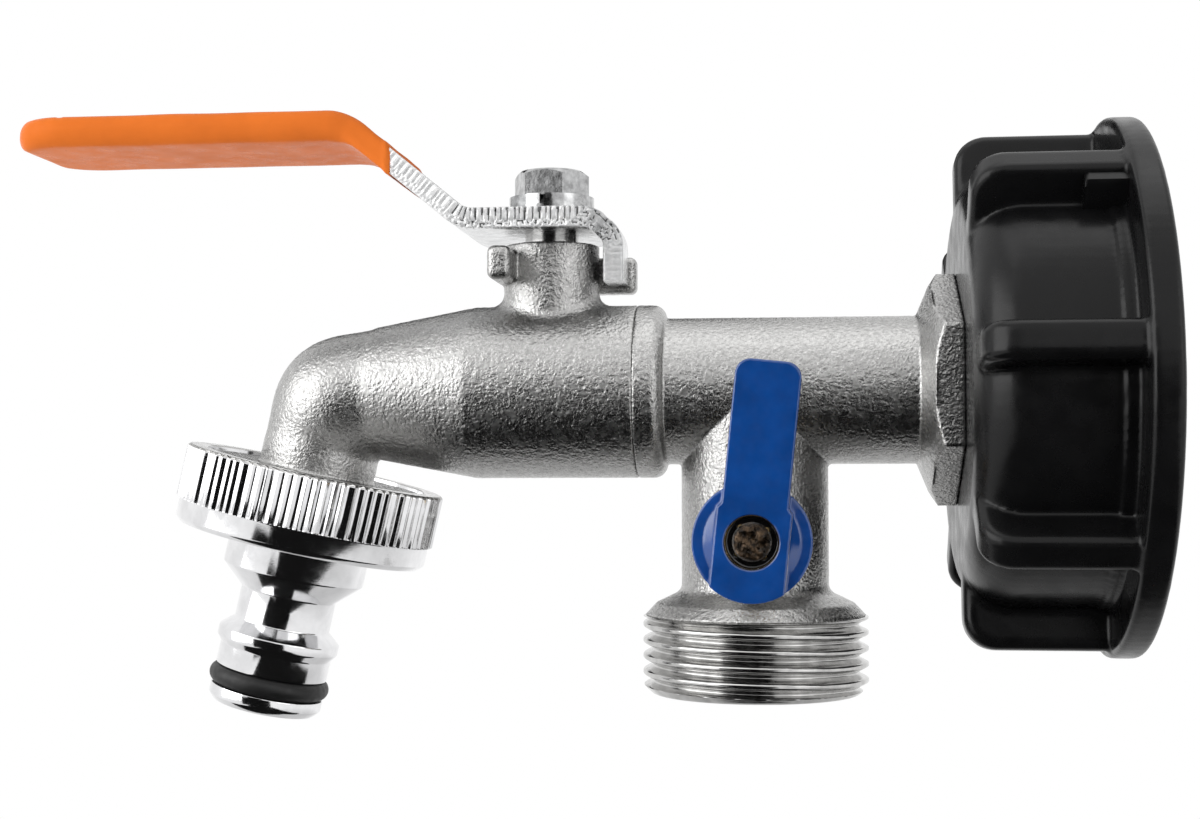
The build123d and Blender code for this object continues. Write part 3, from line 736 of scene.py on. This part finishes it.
def lever_half_width(x):
    """Half the lever's width at a place along it, measured from the stem."""
    if x > SHOULDER_X:
        return TAB_HALF
    half = PLATE_HALF - (PLATE_HALF - HANDLE_HALF) * min(1.0, max(0.0, (-x - 11.7) / 17.6))
    rise = x - SHOULDER_X + SHOULDER_CORNER
    if rise > 0:
        half -= SHOULDER_CORNER - math.sqrt(max(0.0, SHOULDER_CORNER ** 2 - rise ** 2))
    left = x - LEVER_LINE[-1][0]
    if left < 9.0:
        half -= 9.0 - math.sqrt(max(0.0, 81.0 - (9.0 - left) ** 2))
    return half


def plate_section(half_width, half_thickness, corner, steps, rows, columns):
    """A rounded flat section as (across, through, side) triples."""
    corner = min(corner, half_width * 0.9, half_thickness * 0.98)
    out = []
    spots = [(1, 1, 0), (-1, 1, 90), (-1, -1, 180), (1, -1, 270)]
    for index, (sx, sy, start) in enumerate(spots):
        cx = sx * (half_width - corner)
        cy = sy * (half_thickness - corner)
        for step in range(steps + 1):
            angle = math.radians(start + 90 * step / steps)
            side = sx if abs(math.cos(angle)) > 0.5 else 0
            out.append((cx + corner * math.cos(angle), cy + corner * math.sin(angle), side))
        last = out[-1]
        nx, ny, nstart = spots[(index + 1) % 4]
        angle = math.radians(nstart)
        target = (nx * (half_width - corner) + corner * math.cos(angle),
                  ny * (half_thickness - corner) + corner * math.sin(angle))
        parts = columns if index % 2 == 0 else rows
        for part in range(1, parts):
            t = part / parts
            side = 0 if index % 2 == 0 else nx
            out.append((last[0] + (target[0] - last[0]) * t, last[1] + (target[1] - last[1]) * t, side))
    return out


def sheared(distance, side, through, depth):
    """How deep a sheared edge is at one place: bright upright bars above, a torn band below."""
    wander = noise.noise(Vector((distance * 0.7, side * 5.0, 0)))
    share = (distance / 0.92 + 0.5 * wander) % 1.0
    bar = min(1.0, abs(share * 2 - 1) * (2.5 - 0.6 * through)) ** 2
    bend = smooth_step(distance, 4.0, 6.2) - smooth_step(distance, 9.6, 12.5)
    level = -0.25 + 0.35 * noise.noise(Vector((distance * 1.4, side * 3.0, 4.0))) + 1.9 * bend
    torn = smooth_step(level - through, 0.0, 0.35)
    rough = 0.5 + 0.9 * noise.noise(Vector((distance * 2.6, side * 9.0, through * 2.6)))
    burr = -0.25 * smooth_step(-through, 1.15, 1.45)
    rubbed = (1 - 0.62 * smooth_step(distance, 27.0, 32.0)) * (0.05 + 0.95 * smooth_step(distance, 3.4, 6.8))
    return depth * rubbed * ((1 - bar) * (1 - torn) + rough * torn + burr)


class TAP_OT_long_lever(bpy.types.Operator):
    """Builds the steel lever with its sheared edges, and its dipped sleeve"""

    bl_idname = "tap.long_lever"
    bl_label = "Long lever"

    def execute(self, context):
        settings = context.scene.tap_lever
        half = settings.thickness / MM / 2
        depth = settings.edge_depth / MM
        wall = settings.sleeve_wall / MM
        samples = bent_line(LEVER_LINE, LEVER_BENDS, 0.13)
        loops = []
        notch_shade_faces = []
        for here, ahead, distance in samples:
            through = Vector((ahead.y, -ahead.x))
            section = plate_section(lever_half_width(here.x), half, 0.34, 3, 14, 10)
            loop = []
            for across, up, side in section:
                notch = side * max(0.0, sheared(distance, side, up, depth)) if side else 0.0
                # painted shade mask: the deepest notch places are marked for the dark steel colour
                notch_shade_faces.append(abs(notch) > 0.52 * depth)
                wave = 0.04 * noise.noise(Vector((here.x * 0.16, across * 0.2, 1.7)))
                spot = here + through * (up + wave)
                loop.append((STEM_X + spot.x, across - notch, spot.y))
            loops.append(loop)
        lever = bridged("steel_lever", loops, 50)
        clothe(lever, zinc_steel(), "long_lever", "plated_steel", "main_lever")
        lever.data.materials.append(torn_steel())
        # the third finish is painted shade for the bottoms of the notches
        lever.data.materials.append(notch_steel())
        for face in lever.data.polygons:
            across = abs(face.center.y) / MM
            face.material_index = int(across > lever_half_width(face.center.x / MM - STEM_X) - 0.5)
            # painted shade: faces at the bottom of deep notches get the dark steel colour
            if len(face.vertices) == 4 and all(notch_shade_faces[index] for index in face.vertices):
                face.material_index = 2
        self.build_sleeve(samples, half + wall, wall)
        return {"FINISHED"}

    def build_sleeve(self, samples, half, wall):
        """The dipped sleeve, with a mouth cut upright and a round tip."""
        end = LEVER_LINE[-1][0] - wall
        core = half - wall
        covered = [sample for sample in samples if sample[0].x < SLEEVE_MOUTH + 1.4]
        covered = covered[:60] + covered[60::3]
        last = covered[-1]
        covered += [(Vector((end + 0.8 * (1 - k / 4), last[0].y)), last[1], last[2]) for k in range(1, 5)]
        loops = []
        for here, ahead, distance in covered:
            through = Vector((ahead.y, -ahead.x))
            left = here.x - end
            close = min(1.0, math.sqrt(max(0.0, 1 - (1 - min(left, 3.4) / 3.4) ** 2)) + 0.02)
            width = lever_half_width(max(here.x, LEVER_LINE[-1][0] + 0.4)) + wall
            if left < 9.4:
                width = HANDLE_HALF + wall - 9.4 + math.sqrt(max(0.0, 88.36 - (9.4 - left) ** 2))
                width = max(0.4, width)
            skin = 0.22 + (wall - 0.22) * smooth_step(SLEEVE_MOUTH - here.x, 3.5, 9.5)
            corner = min(2.2, 0.25 + 3 * skin) * close
            section = plate_section(width - wall + skin, (core + skin) * close, corner, 7, 4, 16)
            loop = []
            for across, up, side in section:
                swell = 0.10 * noise.noise(Vector((here.x * 0.11, across * 0.14, up * 0.5)))
                crease = -0.14 * math.exp(-((here.x + 76.0 + across * 0.25) / 0.35) ** 2) * (up > 0)
                spot = here + through * (up * (1 + (swell + crease) / half))
                start = SLEEVE_MOUTH - spot.x
                bead = 0.13 * math.exp(-((start - 0.7) / 0.45) ** 2) - 0.16 * math.exp(-max(0.0, start) / 0.2)
                spot += through * (bead * (1 if up > 0 else -1))
                lip = bead * (1 if across > 0 else -1) * (abs(across) > width - 1.6)
                loop.append((STEM_X + min(SLEEVE_MOUTH, spot.x), across * (1 + swell * 0.05) + lip, spot.y))
            loops.append(loop)
        sleeve = bridged("lever_sleeve", loops, 60)
        sleeve.visible_glossy = False
        clothe(sleeve, orange_vinyl(), "long_lever", "orange_sleeve", "main_lever_sleeve")


# Fastenings, stems and small lever


def add_bevel(piece, width, segments=3, angle=32):
    """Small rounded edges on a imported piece."""
    bevel = piece.modifiers.new("Small edges", "BEVEL")
    bevel.width = width * MM
    bevel.segments = segments
    bevel.limit_method = "ANGLE"
    bevel.angle_limit = math.radians(angle)
    bevel.harden_normals = False
    bevel.use_clamp_overlap = True


class TAP_OT_fastenings(bpy.types.Operator):
    """Finishes the bolt, the washers and both stems"""

    bl_idname = "tap.fastenings"
    bl_label = "Fastenings and stems"

    def execute(self, context):
        for node, width in (("lever_bolt", 0.22), ("lever_washer", 0.3), ("lever_lock_washer", 0.25)):
            add_bevel(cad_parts[node], width)
            dress(node, bolt_steel())
        dress("main_stem", machined_nickel())
        dress("side_stem", plain_brass())
        return {"FINISHED"}


class TAP_OT_small_lever(bpy.types.Operator):
    """Builds the moulded blue lever and its dark fastening"""

    bl_idname = "tap.small_lever"
    bl_label = "Small lever"

    def execute(self, context):
        mesh = copied("side_lever")
        self.add_foot(mesh)
        lever = put_mesh("branch_lever", mesh)
        add_remesh(lever, 0.14, 9)
        lever.visible_glossy = False
        clothe(lever, blue_plastic(), "small_lever", "blue_plastic", "side_lever")
        clothe(self.build_screw(), greased_steel(), "small_lever", "dark_steel", "side_lever_screw")
        return {"FINISHED"}

    def add_foot(self, bm):
        """Carries the raised strip down to the hub's lower rim."""
        place = along((BRANCH_X, 0, SIDE_AXIS_Z), (0, -1, 0), (1, 0, 0)) @ Matrix.Rotation(math.radians(-6), 4, "Z")
        half = 5.2
        start = math.asin(half / 8.4)
        outline = [(-half, -5.0), (half, -5.0)]
        for step in range(13):
            angle = start - 2 * start * step / 12
            outline.append((8.4 * math.sin(angle), -8.4 * math.cos(angle)))
        rings = []
        for height in (14.7, 20.7):
            rings.append([bm.verts.new(place @ (Vector((x, y, height)) * MM)) for x, y in outline])
        count = len(outline)
        for side in range(count):
            other = (side + 1) % count
            bm.faces.new((rings[0][side], rings[0][other], rings[1][other], rings[1][side]))
        bm.faces.new(rings[0])
        bm.faces.new(rings[1])

    def build_screw(self):
        """The fastening in the hub, whose head is caked with dark grease."""

        def caked(r, h, angle):
            lump = noise.noise(Vector((r * math.cos(angle) * 0.8, r * math.sin(angle) * 0.8, 2.0)))
            fine = noise.noise(Vector((r * math.cos(angle) * 2.4, r * math.sin(angle) * 2.4, 5.0)))
            return r, h + (0.45 * lump + 0.2 * fine) * smooth_step(h, 17.0, 18.6) * (r > 0.05)

        outline = [
            (0.02, 13.4), (1.5, 13.4), (1.5, 17.7), (2.7, 17.7), (2.75, 18.2), (2.5, 18.75), (2.1, 19.0),
            (1.5, 19.15), (0.9, 19.1), (0.5, 18.9), (0.02, 18.8),
        ]
        place = along((BRANCH_X, 0, SIDE_AXIS_Z), (0, -1, 0), (1, 0, 0))
        return turned("caked_screw", divide(outline, 0.2), place, 72, caked)


class TAP_OT_inner_parts(bpy.types.Operator):
    """Finishes the balls, seats, retainer and seals inside"""

    bl_idname = "tap.inner_parts"
    bl_label = "Balls, seats and seals"

    def execute(self, context):
        for node in ("main_ball", "side_ball"):
            dress(node, hard_chrome())
        for node in ("main_seat_rear", "main_seat_front", "side_seat_upper", "side_seat_lower",
                     "joint_seal", "thrust_washer"):
            dress(node, white_seat())
        for node in ("cap_gasket", "nose_washer", "main_stem_o_rings", "side_stem_o_ring"):
            dress(node, black_rubber())
        dress("side_seat_retainer", plain_brass())
        return {"FINISHED"}


# Screw cap


class TAP_OT_cap(bpy.types.Operator):
    """Builds the moulded cap, its inner thread and its sealing lug"""

    bl_idname = "tap.cap"
    bl_label = "Screw cap"

    def execute(self, context):
        settings = context.scene.tap_threads
        cap = put_mesh("screw_cap", copied("tank_cap"))
        add_remesh(cap, 0.36, 6)
        clothe(cap, black_plastic(), "body", "cap_plastic", "tank_cap")
        thread = self.build_thread(settings.cap_pitch / MM, settings.cap_height / MM)
        clothe(thread, black_plastic(), "body", "cap_plastic")
        clothe(self.build_lug(), black_plastic(), "body", "cap_plastic")
        return {"FINISHED"}

    def build_lug(self):
        """The small block for a seal wire, between a rib and the flange."""
        loops = []
        for x, sink in ((-10.0, 0.35), (-9.7, 0.05), (-9.4, 0.0), (-4.1, 0.0)):
            loop = []
            for degrees, radius in ((37.4, 31.5), (37.4, 36.9), (38.4, 37.4), (44.2, 36.9), (44.9, 36.3), (44.9, 31.5)):
                angle = math.radians(degrees)
                rim = radius - sink
                loop.append((x, -rim * math.sin(angle), rim * math.cos(angle)))
            loops.append(loop)
        return bridged("cap_seal_lug", loops)

    def build_thread(self, pitch, height):
        """The coarse inner thread, a ridge that runs round the cap's wall."""
        turns = 1.75
        steps = 320
        loops = []
        for index in range(steps + 1):
            t = index / steps
            angle = TURN * turns * t
            x = -1.6 - pitch * turns * t
            rise = height * smooth_step(t, 0, 0.05) * smooth_step(1 - t, 0, 0.05) + 0.02
            loop = []
            for dx, level in ((-1.5, -0.12), (-0.62, 0.9), (-0.4, 1.0), (0.4, 1.0), (0.62, 0.9), (1.5, -0.12)):
                radius = 30.2 - (rise * level if level > 0 else -0.12)
                loop.append((x + dx, radius * math.sin(angle), radius * math.cos(angle)))
            loops.append(loop)
        return bridged("cap_thread", loops)


# Stage


def floor_material():
    """Pale floor that fades to white far from the object."""
    material = bpy.data.materials.new("pale_floor")
    material.use_nodes = True
    tree = material.node_tree
    tree.nodes.clear()
    output = tree.nodes.new("ShaderNodeOutputMaterial")
    mix = tree.nodes.new("ShaderNodeMixShader")
    diffuse = tree.nodes.new("ShaderNodeBsdfDiffuse")
    diffuse.inputs["Color"].default_value = (0.93, 0.93, 0.93, 1)
    glow = tree.nodes.new("ShaderNodeEmission")
    glow.inputs["Color"].default_value = (1, 1, 1, 1)
    place = tree.nodes.new("ShaderNodeTexCoord")
    length = tree.nodes.new("ShaderNodeVectorMath")
    length.operation = "LENGTH"
    span = tree.nodes.new("ShaderNodeMapRange")
    span.inputs["From Min"].default_value = 0.12
    span.inputs["From Max"].default_value = 0.6
    path = tree.nodes.new("ShaderNodeLightPath")
    seen = tree.nodes.new("ShaderNodeMath")
    seen.operation = "MAXIMUM"
    share = tree.nodes.new("ShaderNodeMath")
    share.operation = "MULTIPLY"
    link = tree.links.new
    link(place.outputs["Object"], length.inputs[0])
    link(length.outputs["Value"], span.inputs["Value"])
    link(path.outputs["Is Camera Ray"], seen.inputs[0])
    link(path.outputs["Is Glossy Ray"], seen.inputs[1])
    link(seen.outputs["Value"], share.inputs[0])
    link(span.outputs["Result"], share.inputs[1])
    link(share.outputs["Value"], mix.inputs["Fac"])
    link(diffuse.outputs["BSDF"], mix.inputs[1])
    link(glow.outputs["Emission"], mix.inputs[2])
    link(mix.outputs["Shader"], output.inputs["Surface"])
    return material


def make_world(scene, level):
    """A white surround that lights the object only softly."""
    world = bpy.data.worlds.new("studio")
    scene.world = world
    world.use_nodes = True
    tree = world.node_tree
    tree.nodes.clear()
    output = tree.nodes.new("ShaderNodeOutputWorld")
    mix = tree.nodes.new("ShaderNodeMixShader")
    plain = tree.nodes.new("ShaderNodeBackground")
    plain.inputs["Color"].default_value = (1, 1, 1, 1)
    plain.inputs["Strength"].default_value = level
    white = tree.nodes.new("ShaderNodeBackground")
    white.inputs["Color"].default_value = (1, 1, 1, 1)
    path = tree.nodes.new("ShaderNodeLightPath")
    first = tree.nodes.new("ShaderNodeMath")
    first.operation = "MAXIMUM"
    second = tree.nodes.new("ShaderNodeMath")
    second.operation = "MAXIMUM"
    link = tree.links.new
    link(path.outputs["Is Camera Ray"], first.inputs[0])
    link(path.outputs["Is Glossy Ray"], first.inputs[1])
    link(first.outputs["Value"], second.inputs[0])
    link(path.outputs["Is Transmission Ray"], second.inputs[1])
    link(second.outputs["Value"], mix.inputs["Fac"])
    link(plain.outputs["Background"], mix.inputs[1])
    link(white.outputs["Background"], mix.inputs[2])
    link(mix.outputs["Shader"], output.inputs["Surface"])


def softbox(name, place, target, size, power):
    """A rectangular studio light that faces a target, in metres."""
    light = bpy.data.lights.new(name, "AREA")
    light.shape = "RECTANGLE"
    light.size, light.size_y = size
    light.energy = power
    lamp = bpy.data.objects.new(name, light)
    lamp.location = place
    lamp.rotation_euler = (Vector(target) - Vector(place)).to_track_quat("-Z", "Y").to_euler()
    bpy.context.scene.collection.objects.link(lamp)
    return lamp


def flag(name, place, target, size):
    """A black card that only reflections see."""
    bm = bmesh.new()
    bmesh.ops.create_grid(bm, x_segments=1, y_segments=1, size=0.5)
    for vert in bm.verts:
        vert.co.x *= size[0]
        vert.co.y *= size[1]
    mesh = bpy.data.meshes.new(name)
    bm.to_mesh(mesh)
    bm.free()
    card = bpy.data.objects.new(name, mesh)
    card.location = place
    card.rotation_euler = (Vector(target) - Vector(place)).to_track_quat("-Z", "Y").to_euler()
    bpy.context.scene.collection.objects.link(card)
    material = bpy.data.materials.get("black_card") or bpy.data.materials.new("black_card")
    material.use_nodes = True
    shader = material.node_tree.nodes["Principled BSDF"]
    shader.inputs["Base Color"].default_value = (0.01, 0.01, 0.01, 1)
    shader.inputs["Roughness"].default_value = 0.9
    shader.inputs["Specular IOR Level"].default_value = 0.0
    mesh.materials.append(material)
    card.visible_camera = False
    card.visible_shadow = False
    card.visible_diffuse = False
    return card


class TAP_OT_stage(bpy.types.Operator):
    """Builds the floor, the studio lights and the camera"""

    bl_idname = "tap.stage"
    bl_label = "Stage"

    def execute(self, context):
        scene = context.scene
        settings = scene.tap_stage
        scene.view_settings.view_transform = "Standard"
        bm = bmesh.new()
        bmesh.ops.create_circle(bm, cap_ends=True, segments=96, radius=4.0)
        mesh = bpy.data.meshes.new("floor")
        bm.to_mesh(mesh)
        bm.free()
        floor = bpy.data.objects.new("floor", mesh)
        floor.location = (-0.08, 0, -settings.floor_drop)
        scene.collection.objects.link(floor)
        mesh.materials.append(floor_material())
        make_world(scene, settings.room_level)
        middle = (-0.08, 0, 0)
        softbox("key", (-0.8, -0.45, 0.28), middle, (0.8, 0.75), settings.key_power)
        softbox("top", (-0.05, -0.1, 0.85), middle, (0.8, 0.5), settings.key_power * 0.25)
        softbox("fill", (0.55, -0.45, 0.2), middle, (0.4, 0.5), settings.fill_power)
        low = 0.002 - settings.floor_drop
        flag("mat_front", (-0.075, -0.385, low), (-0.075, -0.385, 1), (0.55, 0.83))
        flag("card_camera", (-0.165, -0.75, -0.07), (-0.165, 0, -0.07), (0.83, 0.34))
        flag("card_above", (-0.17, -0.75, 0.17), (-0.17, 0, 0.17), (0.4, 0.14))
        flag("card_back", (-0.26, 0.6, 0.33), (-0.26, 0, 0.33), (0.4, 0.34))
        self.place_camera(scene)
        return {"FINISHED"}

    def place_camera(self, scene):
        """The camera stands where the photograph was taken from."""
        yaw, pitch, roll = math.radians(6.38), math.radians(-2.2), math.radians(-0.11)
        distance, lens_pixels = 264.5, 1759.1
        ahead = Vector((-math.sin(yaw) * math.cos(pitch), math.cos(yaw) * math.cos(pitch), -math.sin(pitch)))
        right = Vector((math.cos(yaw), math.sin(yaw), 0))
        up = right.cross(ahead)
        side = right * math.cos(roll) + up * math.sin(roll)
        top = up * math.cos(roll) - right * math.sin(roll)
        lens = bpy.data.cameras.new("camera")
        lens.sensor_width = 36.0
        lens.lens = 36.0 * lens_pixels / 1200
        lens.clip_start = 0.01
        camera = bpy.data.objects.new("camera", lens)
        place = Matrix((side, top, -ahead)).transposed().to_4x4()
        place.translation = (Vector((-77.52, 0, -2.63)) - ahead * distance) * MM
        camera.matrix_world = place
        scene.collection.objects.link(camera)
        scene.camera = camera


class TAP_PT_panel(bpy.types.Panel):
    """Lists the steps that build the tap set"""

    bl_idname = "TAP_PT_panel"
    bl_label = "Tap set"
    bl_space_type = "VIEW_3D"
    bl_region_type = "UI"
    bl_category = "Tap set"

    def draw(self, context):
        layout = self.layout
        for group in (context.scene.tap_threads, context.scene.tap_connector, context.scene.tap_lever,
                      context.scene.tap_finish, context.scene.tap_stage):
            box = layout.box()
            for name in group.__annotations__:
                box.prop(group, name)
        for step in STEPS:
            layout.operator(step.bl_idname)


SETTINGS = {
    "tap_threads": TapThreadSettings,
    "tap_connector": TapConnectorSettings,
    "tap_lever": TapLeverSettings,
    "tap_finish": TapFinishSettings,
    "tap_stage": TapStageSettings,
}

STEPS = (
    TAP_OT_stage,
    TAP_OT_castings,
    TAP_OT_outlet,
    TAP_OT_connector,
    TAP_OT_long_lever,
    TAP_OT_fastenings,
    TAP_OT_small_lever,
    TAP_OT_inner_parts,
    TAP_OT_cap,
)


def register():
    for name, group in SETTINGS.items():
        bpy.utils.register_class(group)
        setattr(bpy.types.Scene, name, PointerProperty(type=group))
    for step in STEPS:
        bpy.utils.register_class(step)
    bpy.utils.register_class(TAP_PT_panel)


def unregister():
    bpy.utils.unregister_class(TAP_PT_panel)
    for step in reversed(STEPS):
        bpy.utils.unregister_class(step)
    for name, group in reversed(SETTINGS.items()):
        delattr(bpy.types.Scene, name)
        bpy.utils.unregister_class(group)


def main():
    """Builds everything in order."""
    register()
    bpy.ops.tap.stage()
    bpy.ops.tap.castings()
    bpy.ops.tap.outlet()
    bpy.ops.tap.connector()
    bpy.ops.tap.long_lever()
    bpy.ops.tap.fastenings()
    bpy.ops.tap.small_lever()
    bpy.ops.tap.inner_parts()
    bpy.ops.tap.cap()


if __name__ == "__main__":
    main()
